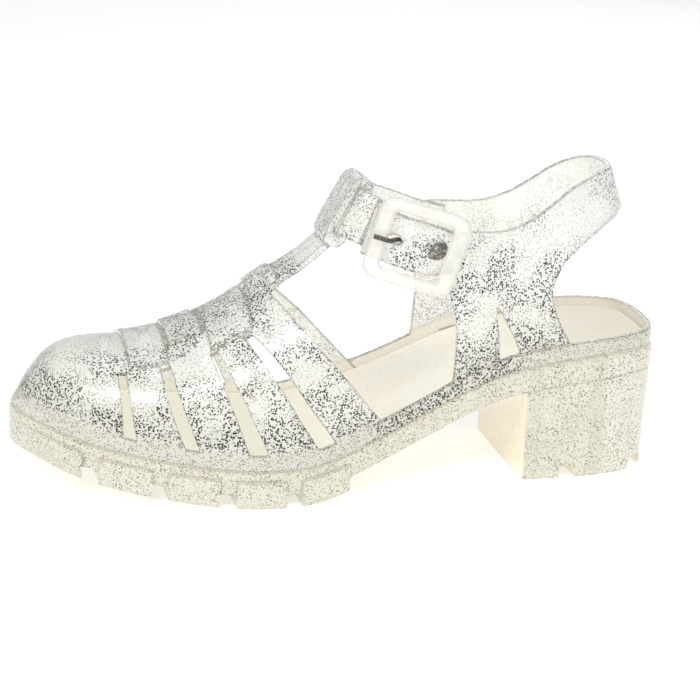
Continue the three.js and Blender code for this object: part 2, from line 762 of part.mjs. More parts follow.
function ribbon(stations, width, thickness, steps) {
  const path = new THREE.CatmullRomCurve3(stations.map((s) => s.at), false, 'centripetal');
  const count = stations.length - 1;
  const rings = [];
  for (let i = 0; i <= steps; i += 1) {
    const share = i / steps;
    const at = path.getPoint(share);
    const tangent = path.getTangent(share);
    const place = Math.min(count - 1e-6, share * count);
    const low = Math.floor(place);
    const across = stations[low].width.clone().lerp(stations[low + 1].width, place - low);
    across.addScaledVector(tangent, -across.dot(tangent)).normalize();
    const out = tangent.clone().cross(across).normalize();
    const corner = (a, b) => at.clone()
      .addScaledVector(across, a * width / 2).addScaledVector(out, b * thickness / 2);
    rings.push([corner(-1, -1), corner(1, -1), corner(1, 1), corner(-1, 1)]);
  }
  return skin(rings);
}

function buildStrap() {
  const strap = ribbon(strapStations(), strapWidth, strapThickness, 48);
  return strap.subtract(strapEndTrim()).subtract(prongHole());
}

// What is cut away to round the strap's free end
function strapEndTrim() {
  const half = strapWidth / 2;
  const centre = strapEnd - half;
  const spare = ledge;
  const shape = new THREE.Shape();
  shape.moveTo(centre, half + spare);
  shape.lineTo(centre, half);
  shape.absarc(centre, 0, half, halfPi, -halfPi, true);
  shape.lineTo(centre, -half - spare);
  shape.lineTo(frameLength, -half - spare);
  shape.lineTo(frameLength, half + spare);
  const depth = strapOverHinge + strapThickness;
  const trim = new THREE.ExtrudeGeometry(shape, { depth, bevelEnabled: false, curveSegments: 10 });
  trim.applyMatrix4(buckleBasis);
  return solid(trim);
}

// Hole where the prong comes up through the strap
const prongRise = -windowEnd + prongHoleLength / 2;

function prongHole() {
  const hole = new THREE.CylinderGeometry(prongHoleWidth / 2, prongHoleWidth / 2, 2 * strapOverHinge, 12);
  hole.rotateX(halfPi);
  hole.scale(prongHoleLength / prongHoleWidth, 1, 1);
  hole.translate(prongRise, 0, strapUnderBar);
  hole.applyMatrix4(buckleBasis);
  return solid(hole);
}

// Tab that reaches forward from the buckle side's quarter, with its knuckle for the hinge bar
function buildTab() {
  const half = strapWidth / 2 - tabInset;
  const plate = new THREE.BoxGeometry(tabReach + knuckleRadius, 2 * half, wall);
  plate.translate((tabReach - knuckleRadius) / 2, 0, -wall / 2);
  const knuckle = new THREE.CylinderGeometry(knuckleRadius, knuckleRadius, 2 * half, 16);
  knuckle.translate(0, 0, hingeLevel);
  const bore = new THREE.CylinderGeometry(hingeRoom, hingeRoom, strapWidth, 12);
  bore.translate(0, 0, hingeLevel);
  const notch = new THREE.BoxGeometry(
    2 * (eyeRadius + seam), prongDiameter + 2 * seam, 2 * (eyeRadius + seam));
  notch.translate(0, 0, hingeLevel);
  const hole = new THREE.CylinderGeometry(rivetShank + seam, rivetShank + seam, 3 * wall, 12);
  hole.rotateX(halfPi);
  hole.translate(rivetPlace, 0, 0);
  return solid(plate).add(solid(knuckle)).subtract(solid(bore)).subtract(solid(notch))
    .subtract(solid(hole)).transform(buckleBasis.toArray());
}

// Surface round the ankle: swing runs from -1 at the buckle side, round the back, to 1
function ankleSurface(lowAt, highAt) {
  const front = quarterFront - quarterLap;
  return (u, v) => {
    const swing = 2 * u - 1;
    const angle = Math.abs(swing) * halfPi;
    const side = Math.sign(swing);
    const seatX = THREE.MathUtils.lerp(front, soleLength, Math.cos(angle));
    const seatY = side < 0 ? lateralEdge(seatX) : medialEdge(seatX);
    const backX = soleLength - slingLean;
    const topX = THREE.MathUtils.lerp(front, backX, Math.cos(angle));
    const share = THREE.MathUtils.clamp((topX - front) / (backX - front), 0, 1);
    const width = ankleWidth / 2 * (1 - share ** ovalPower) ** (1 / ovalPower);
    const topY = ankleShift * (1 - share) + side * width;
    const x0 = THREE.MathUtils.lerp(seatX, topX, 0.5);
    const low = lowAt(x0);
    const z = THREE.MathUtils.lerp(low, highAt(x0), v);
    const climb = Math.max(0, (z - seatHeight) / (slingTop - seatHeight)) ** ankleClimb;
    return new THREE.Vector3(
      THREE.MathUtils.lerp(seatX, topX, climb), THREE.MathUtils.lerp(seatY, topY, climb), z);
  };
}

// Side view of the quarter and sling: back is a share of the way from its front edge to the
// top of the sling, rise a share of the way from the seat to that top
const quarterReach = soleLength - slingLean - quarterFront;
const quarterRise = slingTop - seatHeight;
const quarterFrontRows = [
  { back: 0.012, rise: 0.097 },
  { back: 0.006, rise: 0.233 },
  { back: -0.033, rise: 0.347 },
];
const quarterTopRows = [
  { back: 0.107, rise: 0.703 },
  { back: 0.228, rise: 0.697 },
  { back: 0.359, rise: 0.715 },
  { back: 0.476, rise: 0.770 },
  { back: 0.594, rise: 0.853 },
  { back: 0.715, rise: 0.927 },
  { back: 0.852, rise: 0.976 },
  { back: 0.960, rise: 0.996 },
];
const quarterRearRows = [
  { back: 1.016, rise: 0.756 },
  { back: 0.872, rise: 0.679 },
  { back: 0.729, rise: 0.586 },
  { back: 0.618, rise: 0.482 },
  { back: 0.566, rise: 0.370 },
  { back: 0.588, rise: 0.253 },
  { back: 0.638, rise: 0.138 },
];
const quarterHeelBack = 0.704;
const windowRows = [
  { back: 0.250, rise: 0.279 },
  { back: 0.341, rise: 0.150 },
  { back: 0.393, rise: 0.000 },
  { back: 0.277, rise: 0.000 },
];

function quarterPoint(row, lag = 0) {
  const late = lag * Math.max(0, 4 * row.back * (1 - row.back));
  return new THREE.Vector2(
    quarterFront + quarterReach * row.back + late, seatHeight + quarterRise * row.rise);
}

function quarterShape(lag) {
  const front = quarterFrontRows.map((row) => quarterPoint(row));
  const top = quarterTopRows.map((row) => quarterPoint(row, lag));
  const [turn, ...rear] = quarterRearRows.map((row) => quarterPoint(row));
  const footPoint = (x) => new THREE.Vector2(x, crease(x) + rimHeight - quarterSink);
  const foot = footPoint(quarterFront);
  const beyond = soleLength;
  const shape = new THREE.Shape();
  shape.moveTo(foot.x, foot.y);
  shape.splineThru(front);
  shape.lineTo(front[front.length - 1].x, top[0].y);
  shape.lineTo(top[0].x, top[0].y);
  shape.splineThru(top.slice(1));
  shape.lineTo(beyond, slingTop + ledge);
  shape.lineTo(beyond, turn.y);
  shape.lineTo(turn.x, turn.y);
  shape.splineThru([...rear, footPoint(quarterFront + quarterReach * quarterHeelBack)]);
  shape.closePath();
  return shape;
}

// Three-cornered window in each quarter, standing on the rim
function quarterWindow() {
  const [head, bulge, rear, front] = windowRows.map((row) => quarterPoint(row));
  const window = new THREE.Shape();
  window.moveTo(head.x, head.y);
  window.quadraticCurveTo(bulge.x, bulge.y, rear.x, crease(rear.x) + rimHeight);
  window.lineTo(front.x, crease(front.x) + rimHeight);
  window.closePath();
  return window;
}

function buildQuarters() {
  const low = (x) => crease(Math.min(x, soleLength)) + seam;
  const high = () => slingTop + wall;
  const full = wallPatch(ankleSurface(low, high), 36, 7, -ledge, -ledge - wall);
  const lateralSide = sidePrism(quarterShape(0), -ballWidth, 0, 2);
  const medialSide = sidePrism(quarterShape(medialLag), 0, ballWidth, 2);
  const kept = full.intersect(lateralSide.add(medialSide));
  return kept.subtract(sidePrism(quarterWindow(), -ballWidth, ballWidth, 4));
}

function buildUpper() {
  return joined([buildRim(), buildVamp(), buildKeeper(), buildQuarters(), buildTab(), buildStrap()]);
}

// Buckle frame, with the hinge bar carried behind it on two ears
function buildFrame() {
  const shape = roundedRectangle(new THREE.Shape(), frameLength, frameHeight, frameCorner);
  const innerHeight = frameHeight - 2 * railWidth;
  shape.holes.push(roundedRectangle(new THREE.Path(), 2 * windowEnd, innerHeight, windowCorner));
  const frame = new THREE.ExtrudeGeometry(shape, {
    depth: frameThickness - 2 * frameBevel, bevelThickness: frameBevel, bevelSize: frameBevel,
    bevelOffset: -frameBevel, bevelSegments: 1, curveSegments: 4,
  });
  frame.translate(0, 0, frameLevel + frameBevel);
  const railMiddle = (frameHeight - railWidth) / 2;
  const bar = new THREE.CylinderGeometry(
    hingeBarDiameter / 2, hingeBarDiameter / 2, 2 * railMiddle, 12);
  bar.translate(0, 0, hingeLevel);
  const pieces = [solid(frame), solid(bar)];
  const base = hingeLevel - hingeBarDiameter / 2;
  const rise = frameLevel + frameThickness / 2 - base;
  for (const side of [-1, 1]) {
    const ear = new THREE.BoxGeometry(hingeBarDiameter + earWidth, earWidth, rise);
    ear.translate(0, side * railMiddle, base + rise / 2);
    pieces.push(solid(ear));
  }
  return joined(pieces).transform(buckleBasis.toArray());
}

// Prong from the hinge bar, up through the strap, to the front end bar
function buildProng() {
  const tipLevel = frameLevel + frameThickness + seam + prongDiameter / 2;
  const low = new THREE.Vector3(-eyeRadius + prongEyeWire / 2, 0, hingeLevel);
  const path = new THREE.CatmullRomCurve3([
    low,
    new THREE.Vector3((low.x + prongRise) / 2, 0, hingeLevel + seam),
    new THREE.Vector3(prongRise, 0, (hingeLevel + tipLevel) / 2 - seam),
    new THREE.Vector3(prongRise - prongDiameter, 0, tipLevel),
    new THREE.Vector3(-frameLength / 2 + ledge, 0, tipLevel),
  ], false, 'centripetal');
  const section = new THREE.Shape().absarc(0, 0, prongDiameter / 2, 0, 2 * Math.PI);
  const rod = new THREE.ExtrudeGeometry(section, {
    extrudePath: path, steps: 14, curveSegments: 4, bevelEnabled: false,
  });
  const eye = new THREE.TorusGeometry(eyeRadius - prongEyeWire / 2, prongEyeWire / 2, 6, 14);
  eye.rotateX(halfPi);
  eye.translate(0, 0, hingeLevel);
  return solid(rod).add(solid(eye)).transform(buckleBasis.toArray());
}

// Rivet that fastens the tab: dome outside, shank, and a flat plate inside
function buildRivet() {
  const r = rivetDiameter / 2;
  const plate = 2 * rivetShank;
  const reach = wall + seam;
  const profile = [
    new THREE.Vector2(0, -reach - rivetPlate),
    new THREE.Vector2(plate, -reach - rivetPlate),
    new THREE.Vector2(plate, -reach),
    new THREE.Vector2(rivetShank, -reach),
    new THREE.Vector2(rivetShank, seam),
    new THREE.Vector2(r, seam),
  ];
  for (let i = 1; i <= 4; i += 1) {
    const angle = i / 4 * halfPi;
    profile.push(new THREE.Vector2(r * Math.cos(angle), 2 * seam + rivetDome * Math.sin(angle)));
  }
  profile[profile.length - 1].x = 0;
  const dome = new THREE.LatheGeometry(profile, 16);
  dome.rotateX(halfPi);
  dome.translate(rivetPlace, 0, 0);
  return solid(dome).transform(buckleBasis.toArray());
}

const clearPlastic = { color: 0xe9ebe4, roughness: 0.18, metalness: 0 };
const creamPlastic = { color: 0xe6dfc4, roughness: 0.25, metalness: 0 };
const footbedFoam = { color: 0xe9d9c4, roughness: 0.6, metalness: 0 };
const milkyPlastic = { color: 0xf1efe0, roughness: 0.2, metalness: 0 };
const darkMetal = { color: 0x4a4a4c, roughness: 0.3, metalness: 1 };

const shoe = new THREE.Group();
shoe.add(meshOf('outsole', buildOutsole(), creamPlastic));
shoe.add(meshOf('insole', buildInsole(), footbedFoam));
shoe.add(meshOf('upper', buildUpper(), clearPlastic));
shoe.add(meshOf('buckle_frame', buildFrame(), milkyPlastic));
shoe.add(meshOf('buckle_prong', buildProng(), darkMetal));
shoe.add(meshOf('rivet', buildRivet(), darkMetal));

// The origin is on the floor, under the middle of the shoe
const extent = new THREE.Box3().setFromObject(shoe);
const centre = extent.getCenter(new THREE.Vector3());
shoe.position.set(-centre.x, -centre.y, -extent.min.z);

const sandal = new THREE.Group();
sandal.add(shoe);

export default sandal;
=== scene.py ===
"""Block heel sandal in clear glitter plastic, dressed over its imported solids."""
import math

import bmesh
import bpy
from bpy.props import FloatProperty, FloatVectorProperty, IntProperty, PointerProperty
from mathutils import Matrix, Vector, kdtree
from mathutils.bvhtree import BVHTree


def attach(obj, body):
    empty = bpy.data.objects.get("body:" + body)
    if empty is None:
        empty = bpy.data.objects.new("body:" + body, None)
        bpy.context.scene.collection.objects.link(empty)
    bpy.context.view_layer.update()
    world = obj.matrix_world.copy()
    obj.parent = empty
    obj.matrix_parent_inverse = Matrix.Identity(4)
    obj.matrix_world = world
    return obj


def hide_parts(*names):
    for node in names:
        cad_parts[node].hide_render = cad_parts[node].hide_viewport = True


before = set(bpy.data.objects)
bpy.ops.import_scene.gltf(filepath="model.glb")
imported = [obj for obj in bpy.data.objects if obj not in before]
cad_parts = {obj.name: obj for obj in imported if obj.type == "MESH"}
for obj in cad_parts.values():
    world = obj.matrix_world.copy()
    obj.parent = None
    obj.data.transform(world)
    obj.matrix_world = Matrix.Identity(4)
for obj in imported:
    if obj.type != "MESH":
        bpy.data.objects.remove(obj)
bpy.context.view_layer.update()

bl_info = {
    "name": "Clear Block Heel Sandal",
    "version": (1, 0, 0),
    "blender": (4, 5, 0),
    "location": "3D View > Sidebar > Sandal",
    "description": "Dresses the solids of a clear plastic block heel sandal",
    "category": "Object",
}

MM = 0.001
TO_MM = 1000.0


# Colours, besides those that a user can change

WHITE = (1.0, 1.0, 1.0, 1.0)
INNER_FACE_LIGHT = (0.96, 0.96, 0.93)
INNER_RIM = (0.72, 0.68, 0.58)
CLEAR_EDGE_SHADE = (0.30, 0.29, 0.25)
FINE_SILVER = (0.80, 0.80, 0.76)
HEEL_REAR = (0.76, 0.74, 0.65)
HEEL_BREAST = (0.78, 0.71, 0.56)
SOLE_EDGE_SHADE = (0.36, 0.35, 0.29)
FINE_SPECKS = ((0.32, 0.29, 0.20), (0.86, 0.84, 0.76))
BOLD_SPECKS = ((0.04, 0.035, 0.02), (0.36, 0.32, 0.22))
FOOTBED_GRAIN = (0.64, 0.57, 0.45)
FOOTBED_TOE_SHADE = (0.63, 0.615, 0.52)
FOOTBED_HEEL = (0.62, 0.58, 0.48)
FOOTBED_WARMTH = (0.96, 0.90, 0.84)
FRAME_WARMTH = (0.97, 0.94, 0.86)
FRAME_EDGE_SHADE = (0.50, 0.49, 0.43)
FLOOR_TONES = ((0.97, 0.97, 0.97), (0.94, 0.94, 0.94))

# Distances from the sole and from sharp edges over which something fades out, in metres

LOW_FADE = (0.004, 0.024)
RIM_FADE = (0.0056, 0.0090)
CLEAR_EDGE_FADE = (0.0001, 0.0006)
SOLE_EDGE_FADE = (0.0, 0.0007)
FRAME_EDGE_FADE = (0.0, 0.0006)

# Zones of the shoe in millimetres from its middle and from the floor: where each fades in or out

SEAT_X = (58.0, 70.0)
FOREFOOT_X = (0.0, 14.0)
TOE_X = (-72.0, -62.0)
TOE_TOP_Z = (40.0, 49.0)
TOE_TOP_Y = (-14.0, 2.0)
HIGH_Z = (84.0, 98.0)
HEEL_REAR_X = (95.0, 99.0)
FOOTBED_TOE_SHADE_X = (-30.0, 5.0)
FOOTBED_HEEL_X = (45.0, 95.0)
CHANNEL_SHADE_TOP_Z = (44.0, 50.0)

# Squared distances, in square millimetres, over which a round patch or an upright band of painted
# shade fades out

RIVET_PATCH = (46.0, 58.0)
CHANNEL_SHADE_FADE = (5.0, 11.0)

# Millimetres along the shoe where a darker upright band shows in the side of the heel: painted
# shade in its channels

HEEL_CHANNEL_SHADE = (69.0, 93.5)

# Painted light: light that a surface gives off in its own colour, for what shines through it

CLEAR_GLOW = 0.17
SOLID_GLOW = 0.22

SOFT_PLASTIC_IOR = 1.46

# Dressing of the solids, with lengths in metres

WELD = 1e-6
SLIVER = 2e-5
CUTTING_ROUNDS = 7
RELAX = 0.5
SOFTEN = 0.35
SHARP = math.radians(38)
METAL_SHARP = math.radians(50)
FRAME_STEP = 0.0012
METAL_STEP = 0.0007
SPINE_END = 0.075
BREAST_FROM = 0.05
BREAST_FACING = -0.6

# Prong and rivet: node, piece and how many times brighter its painted glints are

METAL_PIECES = (("buckle_prong", "prong", 1.6), ("rivet", "rivet_dome", 5.0))

# Lamps: name, place, size and power; they all point at one place above the floor

LAMPS = (("key", (-0.85, -0.55, 0.75), (0.6, 0.6), 2.2),
         ("strip", (-0.05, -0.58, 0.86), (0.9, 0.30), 4.8),
         ("top", (0.15, 0.25, 1.1), (0.9, 0.6), 0.6),
         ("back", (0.5, 0.9, 0.6), (0.8, 0.6), 1.0))
LIT_PLACE = (0.0, 0.0, 0.05)

# Fitted camera: the aimed point in millimetres, the pixel of the photo where it falls, and the
# pixels a millimetre there

AIM = (-1.5, 0.518, 45.0)
AIM_PIXEL = (331, 348)
PIXELS_A_MM = 2.702
FITTED_DISTANCE = 850
PHOTO_SIDE = 700
SENSOR = 36.0


# Sizes and colours that a user would change

class SANDAL_PG_plastic(bpy.types.PropertyGroup):
    clear_colour: FloatVectorProperty(
        name="Clear plastic", description="Tint of the clear moulded upper",
        subtype="COLOR", size=3, min=0, max=1, default=(0.75, 0.75, 0.71))
    low_colour: FloatVectorProperty(
        name="Clear plastic by the sole",
        description="Creamier tint where the upper meets the sole",
        subtype="COLOR", size=3, min=0, max=1, default=(0.56, 0.55, 0.47))
    clear_cover: FloatProperty(
        name="Cover", description="How much one wall of the clear plastic hides",
        subtype="FACTOR", min=0, max=1, default=0.62)
    sole_colour: FloatVectorProperty(
        name="Sole", description="Cloudy cream of the sole and block heel",
        subtype="COLOR", size=3, min=0, max=1, default=(0.63, 0.61, 0.52))
    # Deeper cream for broad patches and the seat, and painted shade in the heel's channels
    sole_shade: FloatVectorProperty(
        name="Sole shade", description="Deeper cream of broad patches and of the heel's bands",
        subtype="COLOR", size=3, min=0, max=1, default=(0.56, 0.54, 0.44))
    flake_dark: FloatVectorProperty(
        name="Dark flakes", description="Colour of the dark glitter flakes",
        subtype="COLOR", size=3, min=0, max=1, default=(0.02, 0.02, 0.02))
    flake_silver: FloatVectorProperty(
        name="Silver flakes", description="Colour of the silver glitter flakes",
        subtype="COLOR", size=3, min=0, max=1, default=(0.42, 0.42, 0.38))
    flake_pitch: FloatProperty(
        name="Flake pitch", description="Distance between neighbouring flakes",
        subtype="DISTANCE", unit="LENGTH", min=0.0003, default=0.00084)


class SANDAL_PG_parts(bpy.types.PropertyGroup):
    insole_colour: FloatVectorProperty(
        name="Insole", description="Warm beige of the footbed",
        subtype="COLOR", size=3, min=0, max=1, default=(0.79, 0.765, 0.68))
    buckle_colour: FloatVectorProperty(
        name="Buckle", description="Milky plastic of the buckle frame",
        subtype="COLOR", size=3, min=0, max=1, default=(0.82, 0.82, 0.785))
    metal_colour: FloatVectorProperty(
        name="Metal", description="Dark nickel of the prong and the rivet",
        subtype="COLOR", size=3, min=0, max=1, default=(0.09, 0.085, 0.075))
    mesh_step: FloatProperty(
        name="Mesh step", description="Longest edge left on a dressed solid",
        subtype="DISTANCE", unit="LENGTH", min=0.0008, default=0.0026)
    smoothing: IntProperty(
        name="Smoothing", description="Rounds of smoothing between the sharp edges",
        min=0, max=60, default=14)


class SANDAL_PG_stage(bpy.types.PropertyGroup):
    floor_size: FloatProperty(
        name="Floor", description="Side of the square floor",
        subtype="DISTANCE", unit="LENGTH", min=0.5, default=6.0)
    azimuth: FloatProperty(
        name="Azimuth", description="Camera's turn about the vertical",
        subtype="ANGLE", default=math.radians(-13.7))
    elevation: FloatProperty(
        name="Elevation", description="Camera's height above the floor as an angle",
        subtype="ANGLE", default=math.radians(17.4))
    roll: FloatProperty(
        name="Roll", description="Camera's roll about its own axis",
        subtype="ANGLE", default=math.radians(-1.91))
    distance: FloatProperty(
        name="Distance", description="From the camera to the middle of the shoe",
        subtype="DISTANCE", unit="LENGTH", min=0.2, default=0.85)
    sky: FloatProperty(
        name="Sky", description="Strength of the even light all round",
        min=0, default=0.42)
    glow: FloatProperty(
        name="Floor glow", description="Light given off by the floor itself",
        min=0, default=0.40)


# Shader nodes as plain expressions

class Value:
    """A socket that can be added, subtracted, multiplied and compared."""

    def __init__(self, shader, socket):
        self.shader = shader
        self.socket = socket

    def _maths(self, operation, *operands):
        made = self.shader.node("ShaderNodeMath", {"operation": operation},
                                dict(enumerate(operands)))
        return Value(self.shader, made.outputs[0])

    def __add__(self, other):
        return self._maths("ADD", self, other)

    def __radd__(self, other):
        return self._maths("ADD", other, self)

    def __sub__(self, other):
        return self._maths("SUBTRACT", self, other)

    def __rsub__(self, other):
        return self._maths("SUBTRACT", other, self)

    def __mul__(self, other):
        return self._maths("MULTIPLY", self, other)

    def __gt__(self, other):
        return self._maths("GREATER_THAN", self, other)

    def highest(self, other):
        return self._maths("MAXIMUM", self, other)

    def lowest(self, other):
        return self._maths("MINIMUM", self, other)

    def ramp(self, low, high):
        """0 below low, 1 above high, smooth between."""
        made = self.shader.node("ShaderNodeMapRange", {"interpolation_type": "SMOOTHSTEP"},
                                {"Value": self, "From Min": low, "From Max": high})
        return Value(self.shader, made.outputs[0])


class Shader:
    """A material whose nodes are made from Python expressions."""

    def __init__(self, name, **constants):
        self.material = bpy.data.materials.new(name)
        self.material.use_nodes = True
        self.tree = self.material.node_tree
        self.surface = self.tree.nodes["Principled BSDF"]
        for socket, value in constants.items():
            self.surface.inputs[socket.replace("_", " ")].default_value = value
        self.place = self.node("ShaderNodeTexCoord").outputs["Object"]

    def node(self, kind, settings=None, values=None):
        made = self.tree.nodes.new(kind)
        for key, value in (settings or {}).items():
            setattr(made, key, value)
        for key, value in (values or {}).items():
            self.feed(made.inputs[key], value)
        return made

    def feed(self, socket, value):
        if isinstance(value, Value):
            value = value.socket
        if isinstance(value, bpy.types.NodeSocket):
            self.tree.links.new(value, socket)
        else:
            socket.default_value = value

    def set(self, name, value):
        self.feed(self.surface.inputs[name], value)

    def colour(self, value, glow):
        """Colour of the surface, which also gives off some light of the same colour, painted light
        for what shines through.
        """
        self.set("Base Color", value)
        self.set("Emission Color", value)
        self.set("Emission Strength", glow)

    def mix(self, share, a, b):
        """Colour from a at 0 to b at 1."""
        a, b = [(*c, 1.0) if isinstance(c, tuple) else c for c in (a, b)]
        made = self.node("ShaderNodeMix", {"data_type": "RGBA"}, {0: share, 6: a, 7: b})
        return made.outputs[2]

    def shifted(self, shift):
        """Places of the surface, moved along all three axes."""
        return self.node("ShaderNodeMapping", None,
                         {"Vector": self.place, "Location": (shift, shift, shift)}).outputs[0]

    def noise(self, pitch, detail=2.0, shift=0.0):
        """Soft noise whose lumps are about pitch metres apart."""
        made = self.node("ShaderNodeTexNoise", None, {
            "Vector": self.shifted(shift), "Scale": 1.0 / pitch, "Detail": detail})
        return Value(self, made.outputs[0])

    def cells(self, pitch, shift=0.0):
        """Distance to the nearest of scattered points, and three random numbers of its cell."""
        made = self.node("ShaderNodeTexVoronoi", None, {
            "Vector": self.shifted(shift), "Scale": 1.0 / pitch})
        apart = self.node("ShaderNodeSeparateColor", None, {"Color": made.outputs["Color"]})
        return Value(self, made.outputs["Distance"]), [Value(self, s) for s in apart.outputs]

    def millimetres(self):
        """Place of the surface along x, y and z."""
        apart = self.node("ShaderNodeSeparateXYZ", None, {"Vector": self.place})
        return [Value(self, s) * TO_MM for s in apart.outputs]

    def edge(self, near, far):
        """1 up to near metres from the sharp edges of the solid, 0 beyond far metres."""
        return 1.0 - self.attribute("edge_distance").ramp(near, far)

    def bump(self, value, depth):
        """Raises the surface by value times depth metres."""
        made = self.node("ShaderNodeBump", None,
                         {"Height": value, "Distance": depth, "Strength": 1.0})
        self.set("Normal", made.outputs[0])

    def attribute(self, name):
        made = self.node("ShaderNodeAttribute", {"attribute_name": name})
        return Value(self, made.outputs["Fac"])


def flakes(shader, pitch, small, large, share, shift=0.0, spread=1.0):
    """Mask of scattered flakes and the tone of each; sizes are shares of the pitch."""
    distance, (size, luck, tone) = shader.cells(pitch, shift)
    radius = (small + size * (large - small)) * spread
    return (radius - distance).ramp(0.0, 0.05) * (luck > 1.0 - share), tone


def warmed(colour, shares):
    """Colour with each of its channels multiplied by a share."""
    return tuple(channel * share for channel, share in zip(colour, shares))


def clear_plastic(name, plastic, rivet):
    """Clear plastic with dark and silver glitter, cloudier near the sole, paler inside as painted
    light and with painted shade along its edges.
    """
    shader = Shader(name, IOR=SOFT_PLASTIC_IOR, Coat_Roughness=0.07, Coat_IOR=1.75)
    x, y, z = shader.millimetres()

    # Where the walls face inward, meet the sole or need fewer flakes
    inside = shader.attribute("inward")
    above_sole = shader.attribute("sole_distance")
    low = (1.0 - above_sole.ramp(*LOW_FADE)) * (1.0 - inside * 0.8)
    rim = 1.0 - above_sole.ramp(*RIM_FADE)
    inner_rim = (rim * inside * 1.6).lowest(1.0)
    seat = rim * x.ramp(*SEAT_X)
    forefoot_rim = rim * (1.0 - x.ramp(*FOREFOOT_X))
    high = z.ramp(*HIGH_Z)
    toe_top = (1.0 - x.ramp(*TOE_X)) * z.ramp(*TOE_TOP_Z) * y.ramp(*TOE_TOP_Y)
    edge = shader.edge(*CLEAR_EDGE_FADE)

    # Patches where the flakes are large and dark
    patches = shader.noise(0.012, detail=1.0, shift=0.04).ramp(0.36, 0.56)
    patches = (patches * 0.5 + 0.48 + low * 0.4).lowest(1.0)
    patches = patches * (1.0 - inside * 0.5) * (1.0 - (seat + forefoot_rim) * 0.55)
    patches = patches * (1.0 - high * 0.25) * (1.0 - toe_top * 0.45)
    bold, tone = flakes(shader, plastic.flake_pitch * 0.93, small=0.33, large=0.55, share=0.98,
                        spread=0.56 + patches * 0.46 + low * 0.12)
    fine, fine_tone = flakes(shader, plastic.flake_pitch * 0.55, small=0.24, large=0.5, share=0.8,
                             shift=0.37)

    dark, silver = tuple(plastic.flake_dark), tuple(plastic.flake_silver)
    body = shader.mix((low * 0.75 + rim * 0.3).lowest(1.0), tuple(plastic.clear_colour),
                      tuple(plastic.low_colour))
    # Painted light: walls that face inward are paler and carry fewer dark flakes, as if washed out
    # by light
    body = shader.mix(inside * 0.85, body, INNER_FACE_LIGHT)
    body = shader.mix(seat * 0.5, body, tuple(plastic.sole_shade))
    body = shader.mix(inner_rim * 0.8, body, INNER_RIM)
    # Painted shade: grey lines along the sharp edges, where the clear plastic bends light
    body = shader.mix(edge * 0.8, body, CLEAR_EDGE_SHADE)
    body = shader.mix(fine * (0.42 + low * 0.2), body, shader.mix(fine_tone, silver, FINE_SILVER))
    shown = (bold * (0.15 + patches * 0.95) * (1.0 - inner_rim)).lowest(1.0)
    body = shader.mix(shown, body, shader.mix(tone.ramp(0.8, 1.0), dark, silver))
    # Glows a little in its own colour: painted light
    shader.colour(body, CLEAR_GLOW)

    # Hides more at edges, by the sole and under flakes, and less over the rivet
    cover = edge * 0.3 + rim * 0.3 + low * 0.1 + plastic.clear_cover
    cover = cover.highest(bold * (0.4 + patches * 0.6))
    apart = [axis - middle * TO_MM for axis, middle in zip((x, y, z), rivet)]
    window = 1.0 - sum(side * side for side in apart).ramp(*RIVET_PATCH)
    shader.set("Alpha", (cover * (1.0 - window * 0.92)).lowest(1.0))
    shader.set("Roughness", shader.noise(0.004, detail=3.0, shift=0.2) * 0.10 + 0.10)
    shader.set("Coat Weight", 0.8 - bold * 0.6)
    shader.bump(shader.noise(0.009, shift=0.5) + bold * 0.05, 0.0002)
    return shader.material


def cloudy_plastic(name, plastic):
    """Thick cream plastic with fine specks, deeper in tone in broad soft patches, with painted
    shade in the heel's channels and along its sharp edges.
    """
    shader = Shader(name, IOR=SOFT_PLASTIC_IOR, Coat_Weight=0.3, Coat_Roughness=0.12,
                    Subsurface_Weight=0.1, Subsurface_Scale=0.003)
    x, _, z = shader.millimetres()
    broad = shader.noise(0.03).ramp(0.35, 0.7)
    near = shader.noise(0.007, shift=0.3).ramp(0.38, 0.62)
    bold, tone = flakes(shader, plastic.flake_pitch * 0.80, small=0.26, large=0.52, share=0.8,
                        shift=0.11)
    fine, fine_tone = flakes(shader, plastic.flake_pitch * 0.48, small=0.24, large=0.54,
                             share=0.85, shift=0.53)
    # Painted shade: darker upright bands where the heel's channels run, fading out above
    off_channels = [x - place for place in HEEL_CHANNEL_SHADE]
    shaded_channels = sum(1.0 - (off * off).ramp(*CHANNEL_SHADE_FADE) for off in off_channels)
    shaded_channels = shaded_channels * (1.0 - z.ramp(*CHANNEL_SHADE_TOP_Z))
    body = shader.mix(broad * 0.3 + shaded_channels * 0.45, tuple(plastic.sole_colour),
                      tuple(plastic.sole_shade))
    body = shader.mix(x.ramp(*HEEL_REAR_X) * 0.45, body, HEEL_REAR)
    open_side = 1.0 - shader.attribute("breast")
    body = shader.mix(open_side, HEEL_BREAST, body)
    # Painted shade: darker along the sharp edges and creases
    body = shader.mix(shader.edge(*SOLE_EDGE_FADE) * 0.4, body, SOLE_EDGE_SHADE)
    body = shader.mix(fine * open_side * 0.55, body, shader.mix(fine_tone, *FINE_SPECKS))
    body = shader.mix(bold * open_side * (0.6 + near * 0.4), body,
                      shader.mix(tone, *BOLD_SPECKS))
    # Glows a little in its own colour: painted light
    shader.colour(body, SOLID_GLOW)
    shader.set("Roughness", shader.noise(0.005, detail=3.0, shift=0.2) * 0.14 + 0.20)
    shader.bump(shader.noise(0.012, shift=0.5), 0.0003)
    return shader.material


